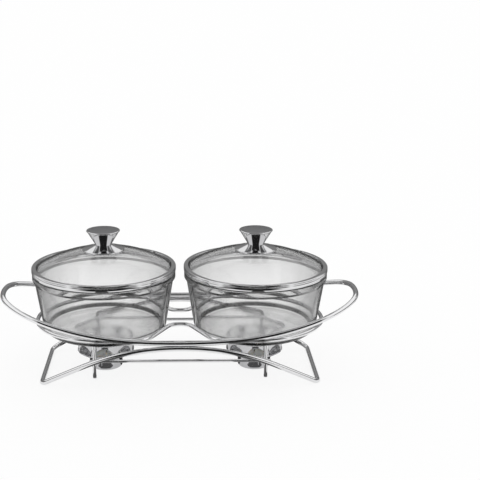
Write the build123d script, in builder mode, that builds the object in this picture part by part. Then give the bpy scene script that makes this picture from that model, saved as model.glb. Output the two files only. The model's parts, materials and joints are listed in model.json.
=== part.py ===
"""Twin glass food warmer: two covered bowls over candle burners on a bent wire stand."""

import os
from math import asin, cos, pi, radians, sin, sqrt, tan

from build123d import *

os.makedirs("parts", exist_ok=True)

# Driving dimensions, in millimetres and degrees. +X runs along the stand, +Y to its back.

# Shared clearances
seat_gap = 0.3
weld_bite = 0.25
cut_overrun = 2.0

# Oval carrying rail, a saddle that lifts towards its two tips
rail_wire = 6.2
rail_handle_reach = 35.4
rail_lift = 14.2
rail_tip_rise = 36.7
rail_plan_power = 2.6
rail_rise_power = 2.3
rail_spans = 6

# Leg arches: each is a wire that stands on two ground runners
leg_wire = 6.2
leg_slope = 31.5
runner_half_depth = 59.0
runner_flat = 0.3
foot_bend = 11.0
arch_bend = 220.0

# Ring that keeps both bowls in place
ring_wire = 5.0
ring_gap = 3.4
ring_weld_turn = 52.0
waist_half_depth = 26.0
waist_run = 11.0
waist_bend = 16.0
shoulder_run = 40.0
shoulder_bend = 25.0

# Bowl rests with their legs, the tie bar and the burner bars
rest_wire = 4.4
rest_height = 51.3
rest_offset = 11.9
rest_burner_gap = 0.4
rest_bend = 8.0
rest_bow = 28.0
rest_tip_bend = 14.0
bar_wire = 3.8
bar_end = 4.0
tie_bend = 7.5
tie_return = 22.0
tie_end_run = 49.0
tie_wrap = 40.0
tie_weld_turn = 40.0

# Glass bowls
lid_spacing = 9.2
bowl_height = 73.6
bowl_mouth_radius = 87.0
bowl_taper = 11.6
bowl_wall = 4.6
bowl_base = 4.5
bowl_corner = 9.0
bowl_inner_corner = 7.0
bead_stand = 1.2
bead_height = 6.5
bead_taper = 3.5
bead_round = 1.6

# Lids: a glass dome in a steel rim band
band_overhang = 0.8
band_height = 7.2
band_sheet = 0.8
band_bulge = 0.9
band_lip = 3.0
skirt_depth = 3.5
glass_edge = 5.0
glass_gap = 0.2
glass_dome = 4.5
dome_rise = 22.2
dome_shoulder = 3.4
dome_inner_shoulder = 5.6
vent_inset = 9.1
vent_turn = 35.0
vent_hole_radius = 2.6
eyelet_bore_radius = 1.5
eyelet_flange_radius = 4.2
eyelet_flange = 0.8
eyelet_sleeve = 3.0

# Lid knobs: a spun foot, a flared cap and the screw that clamps them through the glass
knob_foot_radius = 25.8
knob_foot_edge = 2.2
knob_foot_height = 5.6
knob_neck_radius = 9.7
knob_cap_height = 18.2
knob_cap_radius = 20.5
knob_cap_edge = 1.8
knob_cap_crown = 0.4
screw_radius = 2.0
screw_slack = 0.3
screw_depth = 8.0
screw_head_radius = 4.5
screw_head = 2.6
washer_radius = 8.0
washer = 1.2

# Burners: a spun cup with a flared shoulder and a pierced wind collar
burner_lift = 3.0
burner_sheet = 0.8
cup_height = 13.3
cup_corner = 3.0
shoulder_radius = 35.3
shoulder_rise = 8.5
shoulder_ledge = 1.6
collar_height = 14.4
collar_rim = 1.6
window_count = 8
window_radius = 11.2
window_sill = 0.6
window_height = 11.6

# Candles
candle_radius = 19.2
candle_gap = 0.6
candle_height = 14.0
candle_sheet = 0.4
candle_corner = 2.0
wax_height = 12.0
wick_radius = 0.8
wick_free = 6.0
wick_foot = 2.0

# Heights and places that follow from the driving dimensions
bowl_foot_radius = bowl_mouth_radius - bowl_taper
bead_radius = bowl_mouth_radius + bead_stand
band_radius = bead_radius + band_overhang
bowl_x = band_radius + lid_spacing / 2
rail_half_length = bowl_x + band_radius + rail_handle_reach
cup_radius = candle_radius + candle_gap + burner_sheet
rest_x = bowl_x + rest_offset
rest_reach = shoulder_radius + rest_burner_gap + rest_wire / 2
rest_half_depth = sqrt(rest_reach**2 - rest_offset**2)
rest_top = rest_height + rest_wire / 2
rail_height = rest_height + rail_lift
bowl_bottom = rest_top + seat_gap
bowl_top = bowl_bottom + bowl_height
bowl_draft = (bowl_mouth_radius - bowl_foot_radius) / bowl_height
lid_bottom = bowl_top + seat_gap
lid_top = lid_bottom + band_height
glass_bottom = lid_bottom + band_sheet + glass_gap
glass_top = glass_bottom + glass_edge
glass_radius = band_radius - band_sheet - band_bulge - glass_gap
dome_radius = glass_radius - dome_shoulder
dome_inner_radius = glass_radius - dome_inner_shoulder
dome_top = glass_top + dome_rise
vent_reach = dome_radius - vent_inset
dome_inner_top = dome_top - glass_dome
leg_height = leg_wire / 2 - runner_flat
arch_top = rail_height - (rail_wire + leg_wire) / 2 + weld_bite
cup_top = burner_lift + cup_height
shoulder_top = cup_top + shoulder_rise
shoulder_slope = shoulder_rise / (shoulder_radius - cup_radius)


def rail_rise(x):
    """Height of the rail's centreline at a distance from its middle."""
    return rail_height + rail_tip_rise * (abs(x) / rail_half_length) ** rail_rise_power


def bowl_radius(height):
    """Outer radius of the bowl's tapered wall at a height above the ground."""
    return bowl_foot_radius + (height - bowl_bottom) * bowl_draft


# Beside each bowl's axis the rail lies above and outside the ring, welded to it at a turn from level
ring_weld = (ring_wire + rail_wire - weld_bite) / 2
ring_height = rail_rise(bowl_x) - ring_weld * sin(radians(ring_weld_turn))
ring_front = bowl_radius(ring_height) + ring_gap + ring_wire / 2
rail_weld_depth = ring_front + ring_weld * cos(radians(ring_weld_turn))
rail_narrowing = (1 - (bowl_x / rail_half_length) ** rail_plan_power) ** (1 / rail_plan_power)
rail_half_depth = rail_weld_depth / rail_narrowing


def sphere_radius(reach, rise):
    """Radius of the sphere whose cap has this reach and rise."""
    return (reach**2 + rise**2) / (2 * rise)


def cap_height(reach, rise, top, at):
    """Height of a spherical cap at a distance from its axis."""
    radius = sphere_radius(reach, rise)
    return top - radius + sqrt(radius**2 - at**2)


def axis_plane(x):
    """Upright plane through the axis at x: local x is the radius, local y the height."""
    return Plane(origin=(x, 0, 0), x_dir=(1, 0, 0), z_dir=(0, -1, 0))


def write(builder, name):
    """Label a finished piece and write its file."""
    builder.part.label = name
    export_step(builder.part, f"parts/{name}.step")


def add_biarc(start, start_way, end, end_way):
    """Two arcs that leave start along start_way and reach end along end_way."""
    chord = end - start
    ways = start_way + end_way
    spread = 2 * (1 - start_way.dot(end_way))
    along = chord.dot(ways)
    reach = (sqrt(along**2 + spread * chord.dot(chord)) - along) / spread
    first_corner = start + start_way * reach
    last_corner = end - end_way * reach
    middle = (first_corner + last_corner) / 2
    TangentArc(start, middle, tangent=start_way)
    TangentArc(middle, end, tangent=last_corner - first_corner)


def rail_station(turn):
    """Point and direction of the rail's front right quarter at a turn of 0 to 90 degrees."""
    x = rail_half_length * sin(turn) ** (2 / rail_plan_power)
    y = -rail_half_depth * cos(turn) ** (2 / rail_plan_power)
    run = (abs(y) / rail_half_depth) ** (rail_plan_power - 1) / rail_half_depth
    swing = (x / rail_half_length) ** (rail_plan_power - 1) / rail_half_length
    lift = rail_rise_power * rail_tip_rise / rail_half_length
    climb = lift * (x / rail_half_length) ** (rail_rise_power - 1)
    return Vector(x, y, rail_rise(x)), Vector(run, swing, climb * run).normalized()


# Stand: oval rail, one quarter swept and mirrored twice
with BuildPart() as oval_rail:
    with BuildLine() as rail_path:
        stations = [rail_station(pi / 2 * i / rail_spans) for i in range(rail_spans + 1)]
        for (start, start_way), (end, end_way) in zip(stations, stations[1:]):
            add_biarc(start, start_way, end, end_way)
    with BuildSketch(Plane(origin=rail_path.wire() @ 0, z_dir=rail_path.wire() % 0)):
        Circle(rail_wire / 2)
    sweep(path=rail_path.wire())
    mirror(about=Plane.XZ)
    mirror(about=Plane.YZ)
write(oval_rail, "oval_rail")


# Stand: leg arches. Each lies in a leaning plane, from a runner's middle up to the rail and down again
arch_half_depth = rail_half_depth
arch_fall = arch_top - leg_height
arch_lean = (arch_half_depth - runner_half_depth) / arch_fall
arch_slant = sqrt(1 + arch_lean**2)
leg_angle = radians(leg_slope)
bend_reach = arch_bend * sin(leg_angle)
bend_drop = arch_bend * (1 - cos(leg_angle))
runner_half_spacing = bend_reach + (arch_fall * arch_slant - bend_drop) / tan(leg_angle)
apex_over = arch_bend * (1 / cos(leg_angle) - 1) / arch_slant


def arch_point(x):
    """Point of the rear leg arch's centreline at a distance from its middle."""
    if x < bend_reach:
        drop = arch_bend - sqrt(arch_bend**2 - x**2)
    else:
        drop = bend_drop + (x - bend_reach) * tan(leg_angle)
    fall = drop / arch_slant
    return Vector(x, arch_half_depth - fall * arch_lean, arch_top - fall)


for name, way in (("front_leg_arch", -1), ("rear_leg_arch", 1)):
    apex = (0, way * (arch_half_depth + apex_over * arch_lean), arch_top + apex_over)
    with BuildPart() as leg_arch:
        with BuildLine() as leg_path:
            FilletPolyline(
                (-runner_half_spacing, 0, leg_height),
                (-runner_half_spacing, way * runner_half_depth, leg_height),
                apex,
                (runner_half_spacing, way * runner_half_depth, leg_height),
                (runner_half_spacing, 0, leg_height),
                radius=(foot_bend, arch_bend, foot_bend),
            )
        with BuildSketch(Plane(origin=leg_path.wire() @ 0, z_dir=leg_path.wire() % 0)):
            Circle(leg_wire / 2)
        sweep(path=leg_path.wire())
        split(bisect_by=Plane.XY, keep=Keep.TOP)
    write(leg_arch, name)


# Stand: ring around both bowls
with BuildPart() as bowl_ring:
    with BuildLine(Plane.XY.offset(ring_height)) as ring_path:
        FilletPolyline(
            (0, -waist_half_depth),
            (waist_run, -waist_half_depth),
            (shoulder_run, -ring_front),
            (bowl_x, -ring_front),
            radius=(waist_bend, shoulder_bend),
        )
        CenterArc((bowl_x, 0), ring_front, -90, 90)
    with BuildSketch(Plane(origin=ring_path.wire() @ 0, z_dir=ring_path.wire() % 0)):
        Circle(ring_wire / 2)
    sweep(path=ring_path.wire())
    mirror(about=Plane.XZ)
    mirror(about=Plane.YZ)
write(bowl_ring, "bowl_ring")


# Stand: one bowl rest a side, on two legs, its top bent out to a point under the bowl
for name, way in (("left_bowl_rest", -1), ("right_bowl_rest", 1)):
    with BuildPart() as bowl_rest:
        with BuildLine() as rest_path:
            FilletPolyline(
                (way * rest_x, -rest_half_depth, 0),
                (way * rest_x, -rest_half_depth, rest_height),
                (way * (rest_x + rest_bow), 0, rest_height),
                (way * rest_x, rest_half_depth, rest_height),
                (way * rest_x, rest_half_depth, 0),
                radius=(rest_bend, rest_tip_bend, rest_bend),
            )
        with BuildSketch(Plane.XY):
            with Locations((way * rest_x, -rest_half_depth)):
                Circle(rest_wire / 2)
        sweep(path=rest_path.wire())
    write(bowl_rest, name)


# Stand: tie bar behind the rests, its ends turned back to the rear leg arch. Each rest's upper bend is
# welded to the bar part of the way round the bar's own bend
weld_turn = radians(tie_weld_turn)
wrap_turn = radians(tie_wrap)
rest_way = Vector(rest_bow, -rest_half_depth, 0).normalized()
bend_start = Vector(rest_x, rest_half_depth, rest_height - rest_bend)
bend_run = rest_way * (1 - cos(weld_turn)) + Vector(0, 0, sin(weld_turn))
bend_way = rest_way * sin(weld_turn) + Vector(0, 0, cos(weld_turn))
weld_way = bend_way.cross(Vector(cos(wrap_turn), sin(wrap_turn), 0)).normalized()
tie_weld = bend_start + bend_run * rest_bend + weld_way * ((rest_wire + bar_wire) / 2 - weld_bite)
tie_corner = tie_weld + Vector(1 - sin(wrap_turn), cos(wrap_turn) - 1, 0) * tie_bend
tie_turn_back = tie_corner + Vector(0, tie_return, 0)
arch_weld = arch_point(tie_corner.X - tie_end_run)
arch_way = (arch_point(arch_weld.X + leg_wire) - arch_point(arch_weld.X - leg_wire)).normalized()
tie_way = (arch_weld - tie_turn_back).normalized()
weld_cosine = abs(tie_way.dot(arch_way))
weld_reach = (leg_wire / 2 - weld_bite + bar_wire / 2 * weld_cosine) / sqrt(1 - weld_cosine**2)
tie_end = arch_weld - tie_way * weld_reach
with BuildPart() as rear_tie_bar:
    with BuildLine() as tie_path:
        FilletPolyline(
            (-tie_end.X, tie_end.Y, tie_end.Z),
            (-tie_turn_back.X, tie_turn_back.Y, tie_turn_back.Z),
            (-tie_corner.X, tie_corner.Y, tie_corner.Z),
            tie_corner,
            tie_turn_back,
            tie_end,
            radius=tie_bend,
        )
    with BuildSketch(Plane(origin=tie_path.wire() @ 0, z_dir=tie_path.wire() % 0)):
        Circle(bar_wire / 2)
    sweep(path=tie_path.wire())
write(rear_tie_bar, "rear_tie_bar")


# Stand: straight bars that carry the burners, welded inside the rests' legs
bar_depth = rest_half_depth - (rest_wire + bar_wire) / 2 + weld_bite
bar_drop = (bar_wire / 2 + seat_gap) * sqrt(1 + shoulder_slope**2)
bar_height = cup_top + (bar_depth - cup_radius) * shoulder_slope - bar_drop
for name, y in (("front_burner_bar", -bar_depth), ("rear_burner_bar", bar_depth)):
    with BuildPart() as burner_bar:
        with BuildSketch(Plane.YZ):
            with Locations((y, bar_height)):
                Circle(bar_wire / 2)
        extrude(amount=rest_x + rest_wire / 2 + bar_end, both=True)
        chamfer(burner_bar.edges().filter_by(GeomType.CIRCLE), bar_wire / 8)
    write(burner_bar, name)


def make_bowl(name, x):
    """Tapered glass bowl with a thick base and a rounded rim bead."""
    inner_floor = bowl_bottom + bowl_base
    bead_start = bowl_top - bead_height - bead_taper
    with BuildPart() as bowl:
        with BuildSketch(axis_plane(x)) as profile:
            with BuildLine():
                Polyline(
                    (0, bowl_bottom),
                    (bowl_foot_radius, bowl_bottom),
                    (bowl_radius(bead_start), bead_start),
                    (bead_radius, bowl_top - bead_height),
                    (bead_radius, bowl_top),
                    (bowl_mouth_radius - bowl_wall, bowl_top),
                    (bowl_radius(inner_floor) - bowl_wall, inner_floor),
                    (0, inner_floor),
                    close=True,
                )
            make_face()
            fillet(profile.vertices().sort_by_distance((bowl_foot_radius, bowl_bottom))[0], bowl_corner)
            fillet(profile.vertices().group_by(Axis.Y)[-1], bead_round)
            floor_corner = (bowl_radius(inner_floor) - bowl_wall, inner_floor)
            fillet(profile.vertices().sort_by_distance(floor_corner)[0], bowl_inner_corner)
        revolve(axis=Axis((x, 0, 0), (0, 0, 1)))
    write(bowl, name)


def vent_plane(x):
    """Plane on the dome's outer surface at the steam vent, facing out."""
    radius = sphere_radius(dome_radius, dome_rise)
    lean = asin(vent_reach / radius)
    turn = radians(vent_turn)
    out = Vector(sin(lean) * cos(turn), sin(lean) * sin(turn), cos(lean))
    return Plane(origin=Vector(x, 0, dome_top - radius) + out * radius, z_dir=out)


def make_lid_glass(name, x):
    """Glass dome with a flat edge, a hole for the knob's screw and a steam vent."""
    inner_rise = dome_inner_top - glass_bottom
    with BuildPart() as lid_glass:
        with BuildSketch(axis_plane(x)):
            with BuildLine():
                Polyline(
                    (dome_inner_radius, glass_bottom),
                    (glass_radius, glass_bottom),
                    (glass_radius, glass_top),
                    (dome_radius, glass_top),
                )
                ThreePointArc(
                    (dome_radius, glass_top),
                    (dome_radius / 2, cap_height(dome_radius, dome_rise, dome_top, dome_radius / 2)),
                    (0, dome_top),
                )
                Line((0, dome_top), (0, dome_inner_top))
                ThreePointArc(
                    (0, dome_inner_top),
                    (
                        dome_inner_radius / 2,
                        cap_height(dome_inner_radius, inner_rise, dome_inner_top, dome_inner_radius / 2),
                    ),
                    (dome_inner_radius, glass_bottom),
                )
            make_face()
        revolve(axis=Axis((x, 0, 0), (0, 0, 1)))
        with BuildSketch(Plane(origin=(x, 0, dome_top))):
            Circle(screw_radius + screw_slack)
        extrude(amount=glass_dome + cut_overrun, both=True, mode=Mode.SUBTRACT)
        with BuildSketch(vent_plane(x)):
            Circle(vent_hole_radius)
        extrude(amount=glass_dome * 2, both=True, mode=Mode.SUBTRACT)
    write(lid_glass, name)


def make_lid_band(name, x):
    """Rolled steel band around the glass, with a skirt that centres it in the bowl's mouth."""
    skirt_radius = bowl_mouth_radius - bowl_wall - skirt_depth * bowl_draft - 2 * seat_gap
    wall_radius = band_radius - band_bulge
    with BuildPart() as lid_band:
        with BuildSketch(axis_plane(x)):
            with BuildLine():
                ThreePointArc(
                    (wall_radius, lid_bottom),
                    (band_radius, lid_bottom + band_height / 2),
                    (wall_radius, lid_top),
                )
                Polyline(
                    (wall_radius, lid_top),
                    (wall_radius - band_lip, lid_top),
                    (wall_radius - band_lip, lid_top - band_sheet),
                    (wall_radius - band_sheet, lid_top - band_sheet),
                    (wall_radius - band_sheet, lid_bottom + band_sheet),
                    (skirt_radius - band_sheet, lid_bottom + band_sheet),
                    (skirt_radius - band_sheet, lid_bottom - skirt_depth),
                    (skirt_radius, lid_bottom - skirt_depth),
                    (skirt_radius, lid_bottom),
                    (wall_radius, lid_bottom),
                )
            make_face()
        revolve(axis=Axis((x, 0, 0), (0, 0, 1)))
    write(lid_band, name)


def make_vent_eyelet(name, x):
    """Steel eyelet that lines the steam vent."""
    face = vent_plane(x).offset(seat_gap)
    with BuildPart() as vent_eyelet:
        with BuildSketch(face):
            Circle(eyelet_flange_radius)
            Circle(eyelet_bore_radius, mode=Mode.SUBTRACT)
        extrude(amount=eyelet_flange)
        with BuildSketch(face):
            Circle(vent_hole_radius - seat_gap)
            Circle(eyelet_bore_radius, mode=Mode.SUBTRACT)
        extrude(amount=-eyelet_sleeve)
        rims = vent_eyelet.edges().sort_by(SortBy.LENGTH)[-2:]
        fillet(rims.sort_by(Axis(face.origin, face.z_dir))[-1], eyelet_flange / 3)
    write(vent_eyelet, name)


def make_knob(side, x):
    """Knob foot, knob cap, their clamping screw and its washer."""
    foot_top = dome_top + knob_foot_height
    foot_edge_bottom = cap_height(dome_radius, dome_rise, dome_top, knob_foot_radius) + seat_gap
    foot_edge_top = foot_edge_bottom + knob_foot_edge
    foot_hole = screw_radius + screw_slack
    foot_waist_share = 0.44
    foot_waist = knob_neck_radius + (knob_foot_radius - knob_neck_radius) * foot_waist_share
    with BuildPart() as knob_foot:
        with BuildSketch(axis_plane(x)):
            with BuildLine():
                ThreePointArc(
                    (foot_hole, dome_top + seat_gap),
                    (
                        knob_foot_radius / 2,
                        cap_height(dome_radius, dome_rise, dome_top, knob_foot_radius / 2) + seat_gap,
                    ),
                    (knob_foot_radius - knob_foot_edge / 2, foot_edge_bottom),
                )
                ThreePointArc(
                    (knob_foot_radius - knob_foot_edge / 2, foot_edge_bottom),
                    (knob_foot_radius, (foot_edge_bottom + foot_edge_top) / 2),
                    (knob_foot_radius - knob_foot_edge / 2, foot_edge_top),
                )
                ThreePointArc(
                    (knob_foot_radius - knob_foot_edge / 2, foot_edge_top),
                    (foot_waist, foot_edge_top + (foot_top - foot_edge_top) * foot_waist_share),
                    (knob_neck_radius, foot_top),
                )
                Polyline(
                    (knob_neck_radius, foot_top),
                    (foot_hole, foot_top),
                    (foot_hole, dome_top + seat_gap),
                )
            make_face()
        revolve(axis=Axis((x, 0, 0), (0, 0, 1)))
    write(knob_foot, f"{side}_knob_foot")

    cap_top = foot_top + knob_cap_height
    crown_top = cap_top + knob_cap_crown
    crown_reach = knob_cap_radius - knob_cap_edge / 2
    with BuildPart() as knob_cap:
        with BuildSketch(axis_plane(x)):
            with BuildLine():
                Polyline(
                    (0, foot_top),
                    (knob_neck_radius, foot_top),
                    (crown_reach, cap_top - knob_cap_edge),
                )
                ThreePointArc(
                    (crown_reach, cap_top - knob_cap_edge),
                    (knob_cap_radius, cap_top - knob_cap_edge / 2),
                    (crown_reach, cap_top),
                )
                ThreePointArc(
                    (crown_reach, cap_top),
                    (crown_reach / 2, cap_height(crown_reach, knob_cap_crown, crown_top, crown_reach / 2)),
                    (0, crown_top),
                )
                Line((0, crown_top), (0, foot_top))
            make_face()
        revolve(axis=Axis((x, 0, 0), (0, 0, 1)))
        with BuildSketch(Plane(origin=(x, 0, foot_top))):
            Circle(screw_radius + screw_slack)
        extrude(amount=screw_depth, mode=Mode.SUBTRACT)
    write(knob_cap, f"{side}_knob_cap")

    inner_rise = dome_inner_top - glass_bottom
    washer_top = cap_height(dome_inner_radius, inner_rise, dome_inner_top, washer_radius) - seat_gap / 2
    with BuildPart() as knob_washer:
        with BuildSketch(Plane(origin=(x, 0, washer_top))):
            Circle(washer_radius)
            Circle(screw_radius + screw_slack, mode=Mode.SUBTRACT)
        extrude(amount=-washer)
    write(knob_washer, f"{side}_knob_washer")

    head_top = washer_top - washer
    with BuildPart() as knob_screw:
        with BuildSketch(Plane(origin=(x, 0, head_top))):
            Circle(screw_head_radius)
        extrude(amount=-screw_head)
        fillet(knob_screw.edges().sort_by(Axis.Z)[0], screw_head / 2)
        with BuildSketch(Plane(origin=(x, 0, head_top))):
            Circle(screw_radius)
        extrude(amount=foot_top + screw_depth - seat_gap - head_top)
    write(knob_screw, f"{side}_knob_screw")


def make_burner(side, x):
    """Spun cup with a flared shoulder, and the pierced collar that stands on its ledge."""
    cup_floor = burner_lift + burner_sheet
    steep = burner_sheet * sqrt(1 + shoulder_slope**2)
    ledge_radius = shoulder_radius - shoulder_ledge
    with BuildPart() as burner_cup:
        with BuildSketch(axis_plane(x)) as profile:
            with BuildLine():
                Polyline(
                    (0, burner_lift),
                    (cup_radius, burner_lift),
                    (cup_radius, cup_top),
                    (shoulder_radius, shoulder_top),
                    (shoulder_radius, shoulder_top + burner_sheet),
                    (ledge_radius, shoulder_top + burner_sheet),
                    (cup_radius - burner_sheet, cup_top + steep - burner_sheet * shoulder_slope),
                    (cup_radius - burner_sheet, cup_floor),
                    (0, cup_floor),
                    close=True,
                )
            make_face()
            fillet(profile.vertices().sort_by_distance((cup_radius, burner_lift))[0], cup_corner)
            inner_corner = (cup_radius - burner_sheet, cup_floor)
            fillet(profile.vertices().sort_by_distance(inner_corner)[0], cup_corner - burner_sheet)
        revolve(axis=Axis((x, 0, 0), (0, 0, 1)))
    write(burner_cup, f"{side}_burner_cup")

    collar_bottom = shoulder_top + burner_sheet
    collar_top = collar_bottom + collar_height
    sill = collar_bottom + window_sill
    with BuildPart() as burner_collar:
        with BuildSketch(axis_plane(x)) as profile:
            with BuildLine():
                Polyline(
                    (shoulder_radius, collar_bottom),
                    (shoulder_radius, collar_top),
                    (shoulder_radius - collar_rim, collar_top),
                    (shoulder_radius - collar_rim, collar_top - burner_sheet),
                    (shoulder_radius - burner_sheet, collar_top - burner_sheet),
                    (shoulder_radius - burner_sheet, collar_bottom),
                    close=True,
                )
            make_face()
            fillet(profile.vertices().sort_by_distance((shoulder_radius, collar_top))[0], burner_sheet / 2)
        revolve(axis=Axis((x, 0, 0), (0, 0, 1)))
        for i in range(window_count):
            turn = radians(360 / window_count * i - 90)
            out = Vector(cos(turn), sin(turn), 0)
            window = Plane(origin=(x, 0, 0), x_dir=Vector(0, 0, 1).cross(out), z_dir=out)
            with BuildSketch(window):
                with BuildLine():
                    Line((-window_radius, sill), (window_radius, sill))
                    ThreePointArc(
                        (window_radius, sill), (0, sill + window_height), (-window_radius, sill)
                    )
                make_face()
            extrude(amount=shoulder_radius + cut_overrun, mode=Mode.SUBTRACT)
    write(burner_collar, f"{side}_burner_collar")


def make_candle(side, x):
    """Tealight: thin cup, wax and wick."""
    foot = burner_lift + burner_sheet + seat_gap
    wax_foot = foot + candle_sheet
    wax_top = wax_foot + wax_height
    wax_radius = candle_radius - candle_sheet
    with BuildPart() as candle_cup:
        with BuildSketch(Plane(origin=(x, 0, foot))):
            Circle(candle_radius)
        extrude(amount=candle_height)
        fillet(candle_cup.edges().sort_by(Axis.Z)[0], candle_corner)
        offset(amount=-candle_sheet, openings=candle_cup.faces().sort_by(Axis.Z)[-1])
    write(candle_cup, f"{side}_candle_cup")

    with BuildPart() as candle_wax:
        with BuildSketch(Plane(origin=(x, 0, wax_foot))):
            Circle(wax_radius - seat_gap / 2)
        extrude(amount=wax_height)
        fillet(candle_wax.edges().sort_by(Axis.Z)[0], candle_corner)
        with BuildSketch(Plane(origin=(x, 0, wax_foot + wick_foot))):
            Circle(wick_radius)
        extrude(amount=wax_height, mode=Mode.SUBTRACT)
    write(candle_wax, f"{side}_candle_wax")

    with BuildPart() as candle_wick:
        with BuildSketch(Plane(origin=(x, 0, wax_foot + wick_foot))):
            Circle(wick_radius - seat_gap / 3)
        extrude(amount=wax_top + wick_free - wax_foot - wick_foot)
    write(candle_wick, f"{side}_candle_wick")


for side, x in (("left", -bowl_x), ("right", bowl_x)):
    make_bowl(f"{side}_bowl", x)
    make_lid_glass(f"{side}_lid_glass", x)
    make_lid_band(f"{side}_lid_band", x)
    make_vent_eyelet(f"{side}_vent_eyelet", x)
    make_knob(side, x)
    make_burner(side, x)
    make_candle(side, x)
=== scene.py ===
"""Twin glass food warmer: finishes, small made pieces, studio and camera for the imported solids."""

import json
from math import cos, pi, radians, sin

import bmesh
import bpy
import numpy as np
from bpy.props import FloatProperty, FloatVectorProperty, IntProperty, PointerProperty
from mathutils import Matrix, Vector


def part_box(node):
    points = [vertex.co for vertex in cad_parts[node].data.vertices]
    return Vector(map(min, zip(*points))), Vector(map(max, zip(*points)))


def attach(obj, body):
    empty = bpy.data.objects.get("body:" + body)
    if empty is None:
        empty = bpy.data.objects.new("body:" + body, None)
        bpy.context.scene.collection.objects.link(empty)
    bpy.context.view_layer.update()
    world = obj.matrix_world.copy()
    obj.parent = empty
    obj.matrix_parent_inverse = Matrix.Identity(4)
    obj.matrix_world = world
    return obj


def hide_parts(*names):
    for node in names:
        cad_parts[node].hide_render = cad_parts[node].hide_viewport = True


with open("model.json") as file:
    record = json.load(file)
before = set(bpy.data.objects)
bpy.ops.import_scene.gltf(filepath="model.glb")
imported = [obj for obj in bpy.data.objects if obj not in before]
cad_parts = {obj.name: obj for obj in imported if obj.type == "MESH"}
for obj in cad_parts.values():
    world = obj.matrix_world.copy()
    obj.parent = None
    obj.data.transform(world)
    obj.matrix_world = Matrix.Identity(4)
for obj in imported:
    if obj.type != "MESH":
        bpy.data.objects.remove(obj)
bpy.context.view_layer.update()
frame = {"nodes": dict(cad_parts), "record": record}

bl_info = {
    "name": "Twin glass food warmer",
    "version": (1, 0, 0),
    "blender": (4, 5, 0),
    "location": "View3D > Sidebar > Warmer",
    "description": "Dresses the solids of a twin glass food warmer and sets up its studio",
    "category": "Object",
}

SIDES = ("left", "right")
MM = 0.001


def linear(code):
    """Linear red, green and blue of an sRGB hex colour."""
    value = np.array([int(code[i : i + 2], 16) for i in (1, 3, 5)]) / 255
    return tuple(np.where(value <= 0.04045, value / 12.92, ((value + 0.055) / 1.055) ** 2.4))


def colour(code, name, description):
    """Colour property whose default is an sRGB hex colour."""
    return FloatVectorProperty(
        name=name, description=description, subtype="COLOR", size=3, min=0, max=1, default=linear(code)
    )


def length(millimetres, name, description):
    """Length property whose default is given in millimetres."""
    return FloatProperty(
        name=name,
        description=description,
        unit="LENGTH",
        subtype="DISTANCE",
        default=millimetres * MM,
        precision=5,
    )


class WarmerFinish(bpy.types.PropertyGroup):
    """Colours of the warmer's materials."""

    chrome: colour("#ececed", "Chrome", "Chromed steel wire of the stand")
    weld: colour("#c4c4c6", "Weld", "Weld metal under the chrome")
    strip: colour("#e2e2e3", "Polished strip", "Polished stainless rim bands and eyelets")
    knob: colour("#dededf", "Knob", "Polished sides of the stainless knobs")
    # Painted shade: the knob tops are darker than the polished sides
    knob_top_shade: colour("#a4a4a6", "Knob top shade", "Brushed tops of the stainless knobs")
    screw: colour("#b9b9bb", "Screw", "Plain screws under the knobs")
    burner: colour("#cfcfd1", "Burner", "Spun stainless sheet of the burners")
    bowl: colour("#fefefe", "Bowl glass", "Pressed glass of the bowls, seen square on")
    # Painted shade: the bowl glass is darkened to these two colours where it turns away
    bowl_turned_shade: colour("#b4b4b4", "Bowl turned shade", "Pressed glass of the bowls, where a wall turns away")
    bowl_edge_shade: colour("#202020", "Bowl edge shade", "Pressed glass of the bowls, seen along the wall")
    lid: colour("#fafafa", "Lid glass", "Tempered glass of the lids, seen square on")
    # Painted shade: the lid glass is darkened to this colour where the dome turns away
    lid_edge_shade: colour("#5c5c5c", "Lid edge shade", "Tempered glass of the lids, seen along the dome")
    foil: colour("#dcdddf", "Candle foil", "Aluminium cups of the candles")
    wax: colour("#f3f2ee", "Wax", "Paraffin wax of the candles")
    wick: colour("#e9e2d0", "Wick", "Cotton of the wicks")
    char: colour("#2b2724", "Wick tip", "Charred tips of the wicks")
    washer: colour("#d7d8d6", "Washer", "Silicone washers under the knobs")


class WarmerSizes(bpy.types.PropertyGroup):
    """Sizes of the small pieces that are made here."""

    leg_wire: length(6.2, "Leg wire", "Gauge of the leg arches' wire")
    rest_wire: length(4.4, "Rest wire", "Gauge of the bowl rests' wire")
    weld: length(1.7, "Weld", "Half width of a weld bead between two wires")
    weld_run: length(3.6, "Weld run", "Half length of a bead along two wires that run side by side")
    band_height: length(7.2, "Band height", "Height of a lid's rim band above the bowl")
    band_sheet: length(0.8, "Band sheet", "Thickness of a rim band's sheet")
    band_bulge: length(0.9, "Band bulge", "How far a rim band bulges past its corners")
    band_lip: length(4.8, "Band lip", "How far a rim band turns in over the glass")
    band_groove: length(0.5, "Band groove", "Depth of the groove under a rim band's top roll")
    foil_sheet: length(0.25, "Foil", "Thickness of a candle's foil cup")
    foil_ripple: length(0.16, "Foil ripple", "Depth of the flutes in a candle's foil cup")
    foil_flutes: IntProperty(
        name="Foil flutes", description="Flutes around a foil cup", default=44, min=8
    )
    candle_corner: length(2.0, "Candle corner", "Rounding of a candle's foot")
    meniscus: length(0.9, "Meniscus", "How far the wax climbs at its edge and at the wick")
    wick: length(0.7, "Wick", "Radius of a wick")
    wick_twist: length(3.2, "Wick twist", "Length of one turn of the wick's strands")
    wick_bend: length(0.5, "Wick bend", "How far the wick's tip leans over")


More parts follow.
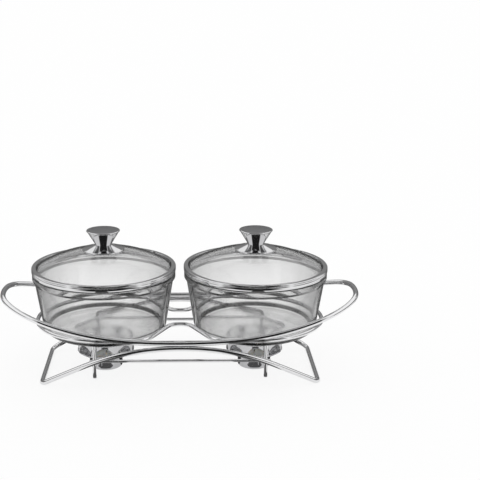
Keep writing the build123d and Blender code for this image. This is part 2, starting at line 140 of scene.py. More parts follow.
class WarmerStage(bpy.types.PropertyGroup):
    """Camera and light."""

    lens: FloatProperty(name="Lens", description="Focal length", unit="CAMERA", default=76.4)
    sensor: FloatProperty(name="Sensor", description="Width of the sensor", unit="CAMERA", default=36)
    distance: length(1207, "Distance", "From the camera to the middle of the stand, along the floor")
    height: length(495.4, "Height", "Of the camera above the floor")
    pitch: FloatProperty(
        name="Pitch", description="Camera's tilt", subtype="ANGLE", default=radians(15.25)
    )
    pan: FloatProperty(name="Pan", description="Camera's turn", subtype="ANGLE", default=radians(1.0))
    shift: FloatProperty(
        name="Shift", description="Sideways shift of the lens, as a share of the width", default=0.09
    )
    light: FloatProperty(
        name="Room light", description="Brightness of the white room", default=1.0, min=0
    )


# Materials


def add_node(tree, kind, links=None, values=None, **settings):
    """Add a node, set its properties, set its input values, and link its inputs."""
    made = tree.nodes.new(kind)
    for name, value in settings.items():
        setattr(made, name, value)
    for name, value in (values or {}).items():
        made.inputs[name].default_value = value
    for name, source in (links or {}).items():
        tree.links.new(source, made.inputs[name])
    return made


def new_material(name, base, **settings):
    """Material with a Principled shader whose plain values are set on its own sockets."""
    material = bpy.data.materials.new(name)
    material.use_nodes = True
    material.diffuse_color = (*base, 1)
    tree = material.node_tree
    shader = tree.nodes["Principled BSDF"]
    shader.inputs["Base Color"].default_value = (*base, 1)
    for key, value in settings.items():
        shader.inputs[key.replace("_", " ")].default_value = value
    return material, tree, shader


def object_place(tree, centre=(0, 0, 0)):
    """Object coordinates in metres, measured from a centre."""
    place = add_node(tree, "ShaderNodeTexCoord").outputs["Object"]
    mapping = add_node(
        tree, "ShaderNodeMapping", {"Vector": place}, {"Location": centre}, vector_type="TEXTURE"
    )
    return mapping.outputs["Vector"]


def spread(tree, value, low, high, start=0.3, stop=0.7):
    """Value mapped from start..stop to low..high."""
    values = {"From Min": start, "From Max": stop, "To Min": low, "To Max": high}
    return add_node(tree, "ShaderNodeMapRange", {"Value": value}, values).outputs["Result"]


def blend_colours(tree, share, first, second):
    """Colour that goes from first to second with a share."""
    values = {6: (*first, 1), 7: (*second, 1)}
    return add_node(tree, "ShaderNodeMix", {0: share}, values, data_type="RGBA").outputs[2]


def add_bump(tree, shader, height, strength, depth_mm):
    """Bump the shader's normal with a height that spans a depth."""
    values = {"Strength": strength, "Distance": depth_mm * MM}
    bump = add_node(tree, "ShaderNodeBump", {"Height": height}, values)
    tree.links.new(bump.outputs["Normal"], shader.inputs["Normal"])


def put_on(material, *nodes):
    """Give CAD nodes this material in every slot."""
    for name in nodes:
        mesh = frame["nodes"][name].data
        mesh.materials.clear()
        mesh.materials.append(material)


def polished_metal(name, base, rough, haze, haze_mm, dent):
    """Polished metal: a mirror with faint hazy patches of a given size and a slight waviness."""
    material, tree, shader = new_material(name, base, Metallic=1.0)
    values = {"Scale": 1 / (haze_mm * MM), "Detail": 3.0}
    noise = add_node(tree, "ShaderNodeTexNoise", {"Vector": object_place(tree)}, values).outputs["Fac"]
    tree.links.new(spread(tree, noise, rough, rough + haze), shader.inputs["Roughness"])
    add_bump(tree, shader, noise, strength=dent, depth_mm=0.1)
    return material


def turning_lines(tree, centre, ring_mm):
    """Noise in rings about an upright axis: it varies with radius plus height, so it rings walls too."""
    place = object_place(tree, centre)
    flat = add_node(tree, "ShaderNodeVectorMath", {0: place}, {1: (1, 1, 0)}, operation="MULTIPLY")
    radius = add_node(tree, "ShaderNodeVectorMath", {0: flat.outputs["Vector"]}, operation="LENGTH")
    height = add_node(tree, "ShaderNodeSeparateXYZ", {"Vector": place})
    parts = {0: radius.outputs["Value"], 1: height.outputs["Z"]}
    along = add_node(tree, "ShaderNodeMath", parts, operation="ADD").outputs["Value"]
    line = add_node(tree, "ShaderNodeCombineXYZ", {"X": along}).outputs["Vector"]
    values = {"Scale": 1 / (ring_mm * MM), "Detail": 4.0}
    return add_node(tree, "ShaderNodeTexNoise", {"Vector": line}, values).outputs["Fac"]


def spun_metal(name, base, centre, ring_mm, rough, streak, ridge):
    """Metal turned or spun about an upright axis: a mirror with fine rings of uneven strength."""
    material, tree, shader = new_material(name, base, Metallic=1.0)
    rings = turning_lines(tree, centre, ring_mm)
    tree.links.new(spread(tree, rings, rough, rough + streak), shader.inputs["Roughness"])
    add_bump(tree, shader, rings, strength=ridge, depth_mm=0.05)
    return material, tree, shader


def clear_glass(name, tints, smoke, wave_mm, wave):
    """Clear glass: it darkens as it turns away, which is painted shade for dark reflections and the longer
    path at its edges; it darkens along its thickness too, and is wavy from the mould.

    The tints are pairs of a share of the turn, from square on to edge on, and the colour there.
    """
    first = tints[0][1]
    material, tree, shader = new_material(name, first, Transmission_Weight=1.0, IOR=1.5, Roughness=0.0)
    turned = add_node(tree, "ShaderNodeLayerWeight", values={"Blend": 0.5}).outputs["Facing"]
    ramp = add_node(tree, "ShaderNodeValToRGB", {"Fac": turned})
    stops = ramp.color_ramp.elements
    between = [stops.new(share) for share, tint in tints[1:-1]]
    for (share, tint), stop in zip(tints, [stops[0], *between, stops[-1]]):
        stop.position = share
        stop.color = (*tint, 1)
    # The turn's colour goes into the base colour: painted shade where the glass turns away
    tree.links.new(ramp.outputs["Color"], shader.inputs["Base Color"])
    values = {"Scale": 1 / (wave_mm * MM), "Detail": 1.0}
    noise = add_node(tree, "ShaderNodeTexNoise", {"Vector": object_place(tree)}, values).outputs["Fac"]
    add_bump(tree, shader, noise, strength=wave, depth_mm=0.5)
    values = {"Color": (0.5, 0.5, 0.5, 1), "Density": smoke}
    depth = add_node(tree, "ShaderNodeVolumeAbsorption", values=values)
    tree.links.new(depth.outputs["Volume"], tree.nodes["Material Output"].inputs["Volume"])
    return material, tree, shader, ramp


# Meshes


def add_object(name, points, quads, material):
    """Smooth mesh object at the origin from arrays of points and quads, its poles merged."""
    mesh = bpy.data.meshes.new(name)
    mesh.from_pydata(points.tolist(), [], quads.tolist())
    tidy = bmesh.new()
    tidy.from_mesh(mesh)
    bmesh.ops.remove_doubles(tidy, verts=tidy.verts, dist=1e-7)
    tidy.to_mesh(mesh)
    tidy.free()
    mesh.polygons.foreach_set("use_smooth", np.ones(len(mesh.polygons), dtype=bool))
    mesh.materials.append(material)
    piece = bpy.data.objects.new(name, mesh)
    bpy.context.scene.collection.objects.link(piece)
    return piece


def add_piece(name, points, quads, body, material, slot):
    """Piece of the warmer that rides on a body and takes a material."""
    piece = add_object(name, points, quads, material)
    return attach(piece, body)


def grid_quads(rows, columns):
    """Quads of a grid whose columns run round."""
    row, column = np.meshgrid(np.arange(rows - 1), np.arange(columns), indexing="ij")
    after = (column + 1) % columns
    here = row * columns
    above = here + columns
    return np.stack([here + column, here + after, above + after, above + column], -1).reshape(-1, 4)


def lathe(profile, centre, columns, flute=0.0, count=0):
    """Points and quads of a profile of radius and height turned about an upright axis.

    A point at radius r and angle t lies at r' cos t, r' sin t from the axis, where r' is r plus the
    flute's depth times cos(count t) times the share of the full radius.
    """
    radius, height = np.asarray(profile).T[:, :, None]
    angle = np.linspace(0, 2 * pi, columns, endpoint=False)[None]
    wide = radius + flute * np.cos(count * angle) * radius / radius.max()
    points = np.stack([centre + wide * np.cos(angle), wide * np.sin(angle), height + 0 * angle], -1)
    return points.reshape(-1, 3), grid_quads(len(radius), columns)


def rounded(corners, steps=7):
    """Closed profile from corners of radius, height and rounding: each corner becomes an arc.

    The arc's centre lies on the corner's bisector at rounding / sin(half the corner's angle).
    """
    corners = np.asarray(corners, dtype=float)
    here, size = corners[:, :2], corners[:, 2:]
    back, ahead = np.roll(here, 1, 0) - here, np.roll(here, -1, 0) - here
    back /= np.linalg.norm(back, axis=1, keepdims=True)
    ahead /= np.linalg.norm(ahead, axis=1, keepdims=True)
    half = np.arccos(np.sum(back * ahead, 1, keepdims=True)) / 2
    bisector = (back + ahead) / np.linalg.norm(back + ahead, axis=1, keepdims=True)
    centre = here + size / np.sin(half) * bisector
    start = here + back * size / np.tan(half) - centre
    stop = here + ahead * size / np.tan(half) - centre
    turn = pi - 2 * half
    share = np.linspace(0, 1, steps)[:, None, None]
    arcs = centre + (np.sin((1 - share) * turn) * start + np.sin(share * turn) * stop) / np.sin(turn)
    profile = arcs.transpose(1, 0, 2).reshape(-1, 2)
    return np.concatenate([profile, profile[:1]])


def foot_arc(radius, bottom, corner, steps):
    """Profile of a rounded foot: a quarter circle of a corner's size that ends upright at a radius."""
    turn = np.linspace(0, pi / 2, steps)
    return np.stack(
        [radius - corner + corner * np.sin(turn), bottom + corner - corner * np.cos(turn)], 1
    )


def beads(centres, sizes, rings=12, columns=18):
    """Points and quads of egg shapes.

    Each is a centre plus half sizes times the unit sphere at polar angle p and turn t.
    """
    polar = np.linspace(pi, 0, rings)[:, None]
    turn = np.linspace(0, 2 * pi, columns, endpoint=False)[None]
    unit = [np.sin(polar) * np.cos(turn), np.sin(polar) * np.sin(turn), np.cos(polar) + 0 * turn]
    ball = np.stack(unit, -1).reshape(-1, 3)
    points = np.asarray(centres)[:, None] + np.asarray(sizes)[:, None] * ball[None]
    quads = grid_quads(rings, columns)[None] + (np.arange(len(points)) * len(ball))[:, None, None]
    return points.reshape(-1, 3), quads.reshape(-1, 4)


def corners_of(node):
    """Points of a CAD node's mesh."""
    return np.array([corner.co for corner in frame["nodes"][node].data.vertices])


def axis_of(side):
    """X of a bowl's axis."""
    low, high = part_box(f"{side}_bowl")
    return (low.x + high.x) / 2


class WARMER_OT_stand(bpy.types.Operator):
    """Chrome the stand's wires and bead their welds"""

    bl_idname = "warmer.stand"
    bl_label = "Wire stand"

    def execute(self, context):
        finish = context.scene.warmer_finish
        # Bright chrome on drawn steel wire: a mirror with dark and white bands along each wire
        chrome = polished_metal(
            "chromed steel wire", finish.chrome, rough=0.07, haze=0.05, haze_mm=18, dent=0.04
        )
        put_on(chrome, *frame["record"]["behaviour"]["bodies"]["stand"])
        # Fused weld metal under the same chrome: duller and lumpy at about 1 mm
        fused = polished_metal("chromed weld", finish.weld, rough=0.14, haze=0.2, haze_mm=1.0, dent=0.5)
        centres, sizes = self.weld_places(context.scene.warmer_sizes)
        add_piece("stand_welds", *beads(centres, sizes), "stand", fused, "stand_chrome")
        return {"FINISHED"}

    def weld_places(self, sizes):
        """Centres and half sizes of the beads where two wires touch, from the wires' boxes."""
        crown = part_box("rear_leg_arch")[1]
        ring_low, ring_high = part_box("bowl_ring")
        bar_low, bar_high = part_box("rear_burner_bar")
        ring_radius = (ring_high.z - ring_low.z) / 2
        leg_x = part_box("right_bowl_rest")[0].x + sizes.rest_wire / 2
        # The tie bar's end is the middle of its rearmost stretch
        end_run = 2 * MM
        tie = corners_of("rear_tie_bar")
        tie_end = tie[(tie[:, 0] > 0) & (tie[:, 1] > tie[:, 1].max() - end_run)].mean(0)
        # The rail touches the ring just inside the bowl's axis, from outside and above at this lean
        touch_share = 0.94
        lean = radians(47)
        ring_weld = (
            touch_share * axis_of("right"),
            ring_high.y - ring_radius + ring_radius * cos(lean),
            ring_high.z - ring_radius + ring_radius * sin(lean),
        )
        # A bead along two wires is lower than one where they cross
        low_share = 0.8
        beside = (sizes.weld_run, sizes.weld * low_share, sizes.weld * low_share)
        across = (sizes.weld,) * 3
        places = (
            ((0, crown.y - sizes.leg_wire / 2, crown.z), beside, (-1, 1)),
            (ring_weld, beside, (-1, 1)),
            ((leg_x, bar_high.y, (bar_low.z + bar_high.z) / 2), across, (-1, 1)),
            (tuple(tie_end), across, (1,)),
        )
        mirrored = {}
        for (x, y, z), size, ways in places:
            for along in (-1, 1):
                for back in ways:
                    mirrored[(along * x, back * y, z)] = size
        return list(mirrored), list(mirrored.values())


class WARMER_OT_bowls(bpy.types.Operator):
    """Glaze the bowls"""

    bl_idname = "warmer.bowls"
    bl_label = "Glass bowls"

    def execute(self, context):
        finish = context.scene.warmer_finish
        # Pressed soda-lime glass: clear square on, grey along its walls and through its base; the grey where
        # the walls turn away is painted shade
        tints = ((0.05, finish.bowl), (0.62, finish.bowl_turned_shade), (0.8, finish.bowl_edge_shade))
        glass, tree, shader, ramp = clear_glass(
            "pressed bowl glass", tints, smoke=25, wave_mm=40, wave=0.04
        )
        self.add_edge_shade_and_stipple(tree, shader, ramp, finish.bowl_edge_shade)
        put_on(glass, "left_bowl", "right_bowl")
        return {"FINISHED"}

    def add_edge_shade_and_stipple(self, tree, shader, ramp, edge):
        """Keep level faces clear, darken the rounded corners and rim with painted shade, and stipple the
        underside.
        """
        # How level a face is, from 0 upright to 1 flat, where walls end and round parts begin and end
        walls_end = (0.8, 0.95)
        round_begins = (0.2, 0.45)
        round_ends = (0.85, 0.98)
        round_share = 0.95
        stipple = 0.22
        stipple_height = 1 * MM
        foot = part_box("left_bowl")[0].z
        facing = add_node(tree, "ShaderNodeTexCoord").outputs["Normal"]
        rise = add_node(tree, "ShaderNodeSeparateXYZ", {"Vector": facing}).outputs["Z"]
        level = add_node(tree, "ShaderNodeMath", {0: rise}, operation="ABSOLUTE").outputs[0]
        turned = ramp.inputs["Fac"].links[0].from_socket
        parts = {0: turned, 1: spread(tree, level, 1, 0, *walls_end)}
        on_walls = add_node(tree, "ShaderNodeMath", parts, operation="MULTIPLY").outputs[0]
        tree.links.new(on_walls, ramp.inputs["Fac"])
        parts = {
            0: spread(tree, level, 0, round_share, *round_begins),
            1: spread(tree, level, 1, 0, *round_ends),
        }
        on_rounds = add_node(tree, "ShaderNodeMath", parts, operation="MULTIPLY").outputs[0]
        # Painted shade: the rounded corners and rim take the dark edge colour
        parts = {0: on_rounds, 6: ramp.outputs["Color"]}
        tint = add_node(tree, "ShaderNodeMix", parts, {7: (*edge, 1)}, data_type="RGBA").outputs[2]
        tree.links.new(tint, shader.inputs["Base Color"])
        height = add_node(tree, "ShaderNodeSeparateXYZ", {"Vector": object_place(tree)}).outputs["Z"]
        rough = spread(tree, height, stipple, 0, foot, foot + stipple_height)
        tree.links.new(rough, shader.inputs["Roughness"])


class WARMER_OT_lids(bpy.types.Operator):
    """Finish the lids' glass, bands and vents"""

    bl_idname = "warmer.lids"
    bl_label = "Lids"

    def execute(self, context):
        finish = context.scene.warmer_finish
        # Tempered glass sagged in a mould: clear, with long shallow waves, grey in painted shade where it
        # turns away
        tints = ((0.3, finish.lid), (1.0, finish.lid_edge_shade))
        glass = clear_glass("tempered lid glass", tints, smoke=8, wave_mm=60, wave=0.02)[0]
        # Rolled stainless strip polished to a mirror
        strip = polished_metal(
            "polished stainless strip", finish.strip, rough=0.03, haze=0.04, haze_mm=9, dent=0.03
        )
        for side in SIDES:
            put_on(glass, f"{side}_lid_glass")
            put_on(strip, f"{side}_vent_eyelet")
            self.add_band(side, strip, context.scene.warmer_sizes)
        return {"FINISHED"}

    def add_band(self, side, material, sizes):
        """Rolled rim band: a bulged face, a groove, a top roll that turns in over the glass, a skirt."""
        name = f"{side}_lid_band"
        low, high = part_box(name)
        axis = axis_of(side)
        rim = (high.x - low.x) / 2
        wall, sheet, groove = rim - sizes.band_bulge, sizes.band_sheet, sizes.band_groove
        top, bottom = high.z, high.z - sizes.band_height
        lip = wall - sizes.band_lip
        solid = corners_of(name)
        foot = solid[solid[:, 2] < low.z + sheet / 2]
        skirt = np.hypot(foot[:, 0] - axis, foot[:, 1]).max()
        # Roundings of the folds, the top roll, the lower edge and the bulged face
        fold = 0.15 * MM
        blunt = 0.3 * MM
        edge = 0.4 * MM
        swell = 6 * MM
        # The bulge is widest this far above the bottom, and the groove lies as far below the top
        roll = 2.4 * MM
        # How far the face, the roll above the groove and the chamfer's top stand back from the rim
        face_back = 0.3 * MM
        roll_back = 0.2 * MM
        chamfer_back = 0.9 * MM
        chamfer_height = 0.8 * MM
        corners = [
            (wall, bottom, edge),
            (rim, bottom + roll, swell),
            (rim - face_back, top - roll - groove, fold),
            (rim - face_back - groove, top - roll, fold),
            (rim - roll_back, top - roll + groove, fold),
            (rim - face_back, top - chamfer_height, blunt),
            (rim - chamfer_back, top, blunt),
            (lip, top, blunt),
            (lip, top - sheet, fold),
            (wall - sheet, top - sheet, fold),
            (wall - sheet, bottom + sheet, fold),
            (skirt - sheet, bottom + sheet, fold),
            (skirt - sheet, low.z, fold),
            (skirt, low.z, fold),
            (skirt, bottom, fold),
        ]
        made = lathe(rounded(corners), axis, columns=240)
        piece = add_piece(f"{side}_rolled_band", *made, f"{side}_lid", material, "band_steel")
        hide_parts(name)


class WARMER_OT_knobs(bpy.types.Operator):
    """Finish the knobs"""

    bl_idname = "warmer.knobs"
    bl_label = "Knobs"

    def execute(self, context):
        finish = context.scene.warmer_finish
        # Silicone rubber: soft, dull, with a fine moulded grain of about 0.6 mm
        rubber, tree, shader = new_material("silicone washer", finish.washer, Roughness=0.55, IOR=1.41)
        grain_mm = 0.6
        values = {"Scale": 1 / (grain_mm * MM), "Detail": 2.0}
        place = object_place(tree)
        grain = add_node(tree, "ShaderNodeTexNoise", {"Vector": place}, values).outputs["Fac"]
        add_bump(tree, shader, grain, strength=0.2, depth_mm=0.05)
        for side in SIDES:
            centre = (axis_of(side), 0, 0)
            # Plain turned screw: rings from the lathe tool, drawn at 0.3 mm so that they show
            name = f"plain steel screw {side}"
            screw = spun_metal(
                name, finish.screw, centre, ring_mm=0.3, rough=0.25, streak=0.15, ridge=0.3
            )[0]
            put_on(self.knob_steel(side, centre, finish), f"{side}_knob_cap", f"{side}_knob_foot")
            put_on(screw, f"{side}_knob_screw")
            put_on(rubber, f"{side}_knob_washer")
        return {"FINISHED"}

    def knob_steel(self, side, centre, finish):
        """Stainless knob: mirror sides with faint turning rings, and a brushed top whose darker colour is
        painted shade.
        """
        # Turned rings drawn at 0.5 mm, which give the sides a fine sheen
        name = f"polished stainless knob {side}"
        steel, tree, shader = spun_metal(
            name, finish.knob, centre, ring_mm=0.5, rough=0.04, streak=0.05, ridge=0.06
        )
        # Scratches of a brush, all one way across the top: their spacing, how much longer they are
        # than wide, how dark they get, and the roughness that they leave
        scratch_mm = 0.25
        stretch = 48
        dark_share = 0.62
        brushed_rough = 0.32
        # The top is where the face is this close to level
        top_begins = (0.985, 0.999)
        rings = shader.inputs["Roughness"].links[0].from_socket
        facing = add_node(tree, "ShaderNodeTexCoord").outputs["Normal"]
        upward = add_node(tree, "ShaderNodeSeparateXYZ", {"Vector": facing}).outputs["Z"]
        on_top = spread(tree, upward, 0, 1, *top_begins)
        values = {"Scale": (1 / stretch, 1, 1)}
        place = add_node(tree, "ShaderNodeMapping", {"Vector": object_place(tree, centre)}, values)
        values = {"Scale": 1 / (scratch_mm * MM), "Detail": 3.0}
        links = {"Vector": place.outputs["Vector"]}
        brushed = add_node(tree, "ShaderNodeTexNoise", links, values).outputs["Fac"]
        # Painted shade: the level top takes the darker top colour, streaked by the brush's scratches
        dark = tuple(dark_share * part for part in finish.knob_top_shade)
        links = {0: on_top, 7: blend_colours(tree, brushed, finish.knob_top_shade, dark)}
        shade = add_node(tree, "ShaderNodeMix", links, {6: (*finish.knob, 1)}, data_type="RGBA")
        tree.links.new(shade.outputs[2], shader.inputs["Base Color"])
        links = {0: on_top, 2: rings}
        rough = add_node(tree, "ShaderNodeMix", links, {3: brushed_rough}, data_type="FLOAT")
        tree.links.new(rough.outputs[0], shader.inputs["Roughness"])
        return steel


class WARMER_OT_burners(bpy.types.Operator):
    """Finish the burners"""

    bl_idname = "warmer.burners"
    bl_label = "Burners"

    def execute(self, context):
        finish = context.scene.warmer_finish
        for side in SIDES:
            # Spun stainless sheet: bright, with faint rings from the roller about 0.8 mm apart
            name = f"spun stainless {side}"
            centre = (axis_of(side), 0, 0)
            steel = spun_metal(
                name, finish.burner, centre, ring_mm=0.8, rough=0.06, streak=0.08, ridge=0.12
            )[0]
            put_on(steel, f"{side}_burner_cup", f"{side}_burner_collar")
        return {"FINISHED"}


class WARMER_OT_candles(bpy.types.Operator):
    """Make the tealights: fluted foil cup, wax with a raised edge, twisted wick"""

    bl_idname = "warmer.candles"
    bl_label = "Candles"

    def execute(self, context):
        sizes = context.scene.warmer_sizes
        finish = context.scene.warmer_finish
        # Pressed aluminium foil: dull silver, crinkled at about 2 mm
        foil = polished_metal(
            "pressed aluminium foil", finish.foil, rough=0.2, haze=0.15, haze_mm=2, dent=0.25
        )
        wax = self.candle_wax(finish)
        for side in SIDES:
            self.add_cup(side, foil, sizes)
            self.add_wax(side, wax, sizes)
            self.add_wick(side, finish, sizes)
        return {"FINISHED"}

    def candle_wax(self, finish):
        """Paraffin wax: milky and soft, lightly mottled at about 6 mm."""
        wax, tree, shader = new_material(
            "paraffin wax", finish.wax, Roughness=0.4, IOR=1.44, Subsurface_Weight=0.5, Subsurface_Scale=1.0
        )
        # Red light goes deepest into the wax, which warms its thin edges
        shader.inputs["Subsurface Radius"].default_value = (4 * MM, 3.4 * MM, 2.6 * MM)
        mottle_mm = 6
        dark_share = 0.86
        values = {"Scale": 1 / (mottle_mm * MM), "Detail": 3.0}
        place = object_place(tree)
        mottle = add_node(tree, "ShaderNodeTexNoise", {"Vector": place}, values).outputs["Fac"]
        dark = tuple(dark_share * part for part in finish.wax)
        tree.links.new(blend_colours(tree, mottle, finish.wax, dark), shader.inputs["Base Color"])
        add_bump(tree, shader, mottle, strength=0.2, depth_mm=0.2)
        return wax

    def cotton(self, side, finish, tip):
        """Cotton wick: pale fuzzy strands that are burnt black at the tip."""
        cotton, tree, shader = new_material(f"cotton wick {side}", finish.wick, Roughness=0.9)
        # The char begins and is full this far below the tip
        char_begins = 3.6 * MM
        char_full = 1.4 * MM
        fuzz_mm = 0.4
        height = add_node(tree, "ShaderNodeSeparateXYZ", {"Vector": object_place(tree)}).outputs["Z"]
        burnt = spread(tree, height, 0, 1, tip - char_begins, tip - char_full)
        tree.links.new(blend_colours(tree, burnt, finish.wick, finish.char), shader.inputs["Base Color"])
        values = {"Scale": 1 / (fuzz_mm * MM), "Detail": 2.0}
        place = object_place(tree)
        fuzz = add_node(tree, "ShaderNodeTexNoise", {"Vector": place}, values).outputs["Fac"]
        add_bump(tree, shader, fuzz, strength=0.5, depth_mm=0.1)
        return cotton

    def add_cup(self, side, material, sizes):
        """Foil cup: a floor, a fluted wall and a rolled rim, outside then inside."""
        low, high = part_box(f"{side}_candle_cup")
        radius = (high.x - low.x) / 2 - sizes.foil_ripple
        sheet = sizes.foil_sheet
        rim_roll = 0.2 * MM
        # The inside of the rounded foot lies this share of the sheet above the outside
        rise_share = 0.6
        outer = foot_arc(radius, low.z, sizes.candle_corner, steps=7)
        inner = outer[::-1] + [[-sheet, sheet * rise_share]]
        rim = [(radius, high.z - rim_roll), (radius - sheet / 2, high.z), (radius - sheet, high.z - rim_roll)]
        profile = np.concatenate([[(0, low.z)], outer, rim, inner, [(0, low.z + sheet)]])
        columns = 4 * sizes.foil_flutes
        made = lathe(profile, axis_of(side), columns, sizes.foil_ripple, sizes.foil_flutes)
        piece = add_piece(f"{side}_foil_cup", *made, f"{side}_candle", material, "candle_aluminium")
        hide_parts(f"{side}_candle_cup")

    def add_wax(self, side, material, sizes):
        """Wax: its top at radius r dips by the meniscus m away from the edge R and the wick w.

        The height is the top less m (1 - c), where c is exp(-(R - r) / e) plus a share of
        exp(-(r - w) / e), at most 1, and e is the reach of the climb.
        """
        low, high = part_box(f"{side}_candle_wax")
        slack = 0.1 * MM
        radius = (high.x - low.x) / 2 - sizes.foil_ripple - slack
        wick = sizes.wick + slack
        reach = 1.6 * MM
        wick_share = 0.8
        r = np.linspace(radius, wick, 28)
        climb = np.exp(-(radius - r) / reach) + wick_share * np.exp(-(r - wick) / reach)
        top = np.stack([r, high.z - sizes.meniscus * (1 - np.minimum(climb, 1))], 1)
        foot = foot_arc(radius, low.z, sizes.candle_corner, steps=6)
        profile = np.concatenate([[(0, low.z)], foot, top, [(0, top[-1, 1])]])
        made = lathe(profile, axis_of(side), columns=96)
        piece = add_piece(f"{side}_wax", *made, f"{side}_candle", material, "candle_wax")
        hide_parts(f"{side}_candle_wax")

    def add_wick(self, side, finish, sizes):
        """Twisted wick of three strands, which leans over and closes at its tip.

        At height z and angle t its radius is r (1 - d + d cos(3 t - turns z)), with d the strands'
        depth, times the square root of the share of the tip that is left above z.
        """
        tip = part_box(f"{side}_candle_wick")[1].z
        wax_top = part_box(f"{side}_candle_wax")[1].z
        strands = 3
        depth_share = 0.14
        sunk = 2 * MM
        tip_run = 0.8 * MM
        rows, columns = 60, 30
        level = np.linspace(wax_top - sunk, tip, rows)[:, None]
        angle = np.linspace(0, 2 * pi, columns, endpoint=False)[None]
        close = np.sqrt(np.clip((tip - level) / tip_run, 0, 1))
        wave = np.cos(strands * angle - 2 * pi * level / sizes.wick_twist)
        radius = sizes.wick * (1 - depth_share + depth_share * wave) * close
        lean = sizes.wick_bend * np.clip((level - wax_top) / (tip - wax_top), 0, 1) ** 2
        x = axis_of(side) + lean + radius * np.cos(angle)
        points = np.stack([x, radius * np.sin(angle), level + 0 * angle], -1).reshape(-1, 3)
        foot = np.array([[axis_of(side), 0, level[0, 0]]])
        points = np.concatenate([np.repeat(foot, columns, 0), points])
        quads = grid_quads(rows + 1, columns)
        cotton = self.cotton(side, finish, tip)
        piece = add_piece(f"{side}_wick", points, quads, f"{side}_candle", cotton, "candle_wick")
        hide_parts(f"{side}_candle_wick")


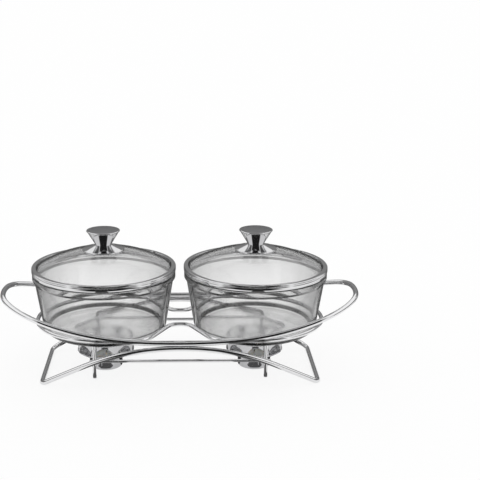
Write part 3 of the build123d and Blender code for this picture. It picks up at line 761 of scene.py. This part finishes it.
class WARMER_OT_stage(bpy.types.Operator):
    """Set up floor, room, flags and camera"""

    bl_idname = "warmer.stage"
    bl_label = "Studio"

    # Flags hang this far above the floor
    lift = 1 * MM

    def execute(self, context):
        scene = context.scene
        scene.view_settings.view_transform = "Standard"
        self.add_floor()
        self.add_room(scene)
        self.add_flags()
        self.add_camera(scene)
        return {"FINISHED"}

    def add_floor(self):
        """White floor: a disc whose rings lie at its reach times the square of a share.

        Part of it is an even white glow, more to the eye than in mirrors and glass. The rest is paint,
        which takes a soft shadow.
        """
        reach = 16.0
        drop = 0.2 * MM
        eye_glow = 0.88
        mirror_glow = 0.5
        rings, columns = 24, 96
        radius = reach * np.linspace(1, 0, rings)[:, None] ** 2
        turn = np.linspace(0, 2 * pi, columns, endpoint=False)[None]
        points = np.stack([radius * np.cos(turn), radius * np.sin(turn), 0 * radius * turn - drop], -1)
        material = bpy.data.materials.new("white floor")
        material.use_nodes = True
        tree = material.node_tree
        tree.nodes.clear()
        path = add_node(tree, "ShaderNodeLightPath").outputs
        rays = {0: path["Is Glossy Ray"], 1: path["Is Transmission Ray"]}
        mirrored = add_node(tree, "ShaderNodeMath", rays, operation="MAXIMUM").outputs[0]
        glows = {
            0: spread(tree, path["Is Camera Ray"], 0, eye_glow, 0, 1),
            1: spread(tree, mirrored, 0, mirror_glow, 0, 1),
        }
        share = add_node(tree, "ShaderNodeMath", glows, operation="MAXIMUM").outputs[0]
        paint = add_node(tree, "ShaderNodeBsdfDiffuse", values={"Color": (0.95, 0.95, 0.95, 1)})
        glow = add_node(tree, "ShaderNodeEmission", values={"Strength": 1.0})
        links = {0: share, 1: paint.outputs[0], 2: glow.outputs[0]}
        mixed = add_node(tree, "ShaderNodeMixShader", links)
        add_node(tree, "ShaderNodeOutputMaterial", {"Surface": mixed.outputs[0]})
        add_object("floor", points.reshape(-1, 3), grid_quads(rings, columns), material)

    def add_room(self, scene):
        """White room all round."""
        world = bpy.data.worlds.new("white room")
        scene.world = world
        world.use_nodes = True
        tree = world.node_tree
        tree.nodes.clear()
        values = {"Color": (1, 1, 1, 1), "Strength": scene.warmer_stage.light}
        room = add_node(tree, "ShaderNodeBackground", values=values)
        add_node(tree, "ShaderNodeOutputWorld", {"Surface": room.outputs[0]})

    def add_flags(self):
        """Dark flags that give polished metal its dark lines. Sizes are in metres.

        Each is a grid that runs across with u from -1 to 1 and along with v from 0 to 1.
        """
        u, v = np.meshgrid(np.linspace(-1, 1, 41), np.linspace(0, 1, 21))
        across = np.abs(u)
        soft_sides = self.soft(across, 0.7)
        front = self.curtain(u, v, way=-1, half_turn=radians(54), height=1.4)
        self.add_flag("front flag", front, level=0.02, fade=self.soft(across, 0.85))
        low_front = self.mat(u, v, near=0.3, far=0.7, start=-0.2, stop=-0.83)
        self.add_flag("low front flag", low_front, level=0.012, fade=self.soft(across, 0.5))
        for side, way in zip(SIDES, (-1, 1)):
            axis = axis_of(side)
            by_burner = self.mat(u, v, near=0.03, far=0.03, start=-0.03, stop=-0.2, middle=axis)
            self.add_flag(f"{side} burner flag", by_burner, level=0.1, fade=self.soft(across, 0.8))
            by_rest = self.mat(u, v, near=0.07, far=0.07, start=0, stop=0.1, middle=axis)
            self.add_flag(f"{side} rest flag", by_rest, level=0.02, fade=self.soft(across, 0.8))
            beside = self.screen(u, v, reach=0.8 * way, half_width=0.6, height=0.35)
            fade = np.maximum(soft_sides, self.soft(v, 0.7))
            self.add_flag(f"{side} side flag", beside, level=0.12, fade=fade)
        ceiling = self.mat(u, v, near=0.4, far=0.4, start=-0.5, stop=1.0, height=1.1)
        self.add_flag("ceiling flag", ceiling, level=0.3, fade=soft_sides)
        rear = self.curtain(u, v, way=1, half_turn=radians(75), height=0.6)
        # The upper part of the rear flag is only a little lighter
        top_share = 0.1
        fade = np.maximum(soft_sides, top_share * self.soft(v, 0.4, 0.6))
        self.add_flag("rear flag", rear, level=0.16, fade=fade)
        low_rear = self.mat(u, v, near=0.5, far=0.9, start=0.12, stop=0.82)
        self.add_flag("low rear flag", low_rear, level=0.16, fade=soft_sides)

    def curtain(self, u, v, way, half_turn, height, reach=0.9):
        """Upright patch of a cylinder: at turn t it lies at reach sin t, way reach cos t."""
        turn = u * half_turn
        return np.stack([reach * np.sin(turn), way * reach * np.cos(turn), self.lift + height * v], -1)

    def mat(self, u, v, near, far, start, stop, middle=0, height=lift):
        """Level patch: its half width goes from near to far as it runs from start to stop."""
        half_width = near + (far - near) * v
        return np.stack([middle + half_width * u, start + (stop - start) * v, height + 0 * v], -1)

    def screen(self, u, v, reach, half_width, height):
        """Upright patch of a plane at a sideways reach."""
        return np.stack([reach + 0 * u, half_width * u, self.lift + height * v], -1)

    def soft(self, along, start, stop=1):
        """Smooth rise from 0 at start to 1 at stop: t t (3 - 2 t)."""
        t = np.clip((along - start) / (stop - start), 0, 1)
        return t * t * (3 - 2 * t)

    def cloth(self, name, level):
        """Material of even brightness that fades to white where the mesh's fade attribute rises to 1."""
        material = bpy.data.materials.new(name)
        material.use_nodes = True
        tree = material.node_tree
        tree.nodes.clear()
        fade = add_node(tree, "ShaderNodeAttribute", attribute_name="fade").outputs["Fac"]
        bright = spread(tree, fade, level, 1, 0, 1)
        glow = add_node(tree, "ShaderNodeEmission", {"Color": bright}, {"Strength": 1.0})
        add_node(tree, "ShaderNodeOutputMaterial", {"Surface": glow.outputs[0]})
        return material

    def add_flag(self, name, points, level, fade):
        """One flag, which only mirrors show: the eye and glass look through it, and it casts no shadow."""
        rows, columns = points.shape[:2]
        row, column = np.meshgrid(np.arange(rows - 1), np.arange(columns - 1), indexing="ij")
        first = row * columns + column
        quads = np.stack([first, first + 1, first + columns + 1, first + columns], -1).reshape(-1, 4)
        flag = add_object(name.replace(" ", "_"), points.reshape(-1, 3), quads, self.cloth(name, level))
        flag.data.attributes.new("fade", "FLOAT", "POINT").data.foreach_set("value", fade.ravel())
        flag.visible_camera = False
        flag.visible_diffuse = False
        flag.visible_transmission = False
        flag.visible_shadow = False

    def add_camera(self, scene):
        """Camera in front and above, turned and shifted so that the warmer stands left of the middle."""
        stage = scene.warmer_stage
        camera = bpy.data.cameras.new("camera")
        camera.lens = stage.lens
        camera.sensor_width = stage.sensor
        camera.shift_x = stage.shift
        eye = bpy.data.objects.new("camera", camera)
        eye.location = (0, -stage.distance, stage.height)
        eye.rotation_euler = (pi / 2 - stage.pitch, 0, -stage.pan)
        scene.collection.objects.link(eye)
        scene.camera = eye


OPERATORS = (
    WARMER_OT_stand,
    WARMER_OT_bowls,
    WARMER_OT_lids,
    WARMER_OT_knobs,
    WARMER_OT_burners,
    WARMER_OT_candles,
    WARMER_OT_stage,
)


class WARMER_PT_panel(bpy.types.Panel):
    """Sidebar panel with the warmer's pieces"""

    bl_idname = "WARMER_PT_panel"
    bl_label = "Food warmer"
    bl_space_type = "VIEW_3D"
    bl_region_type = "UI"
    bl_category = "Warmer"

    def draw(self, context):
        scene = context.scene
        for operator in OPERATORS:
            self.layout.operator(operator.bl_idname)
        for group in (scene.warmer_finish, scene.warmer_sizes, scene.warmer_stage):
            column = self.layout.column(align=True)
            for name in group.__annotations__:
                column.prop(group, name)


GROUPS = (WarmerFinish, WarmerSizes, WarmerStage)
CLASSES = (*GROUPS, *OPERATORS, WARMER_PT_panel)


def register():
    """Register the classes and hang the settings on the scene."""
    for made in CLASSES:
        bpy.utils.register_class(made)
    bpy.types.Scene.warmer_finish = PointerProperty(type=WarmerFinish)
    bpy.types.Scene.warmer_sizes = PointerProperty(type=WarmerSizes)
    bpy.types.Scene.warmer_stage = PointerProperty(type=WarmerStage)


def unregister():
    """Undo register."""
    del bpy.types.Scene.warmer_finish, bpy.types.Scene.warmer_sizes, bpy.types.Scene.warmer_stage
    for made in reversed(CLASSES):
        bpy.utils.unregister_class(made)


def main():
    """Dress the warmer and set up the studio."""
    register()
    for operator in OPERATORS:
        group, name = operator.bl_idname.split(".")
        getattr(getattr(bpy.ops, group), name)()


if __name__ == "__main__":
    main()
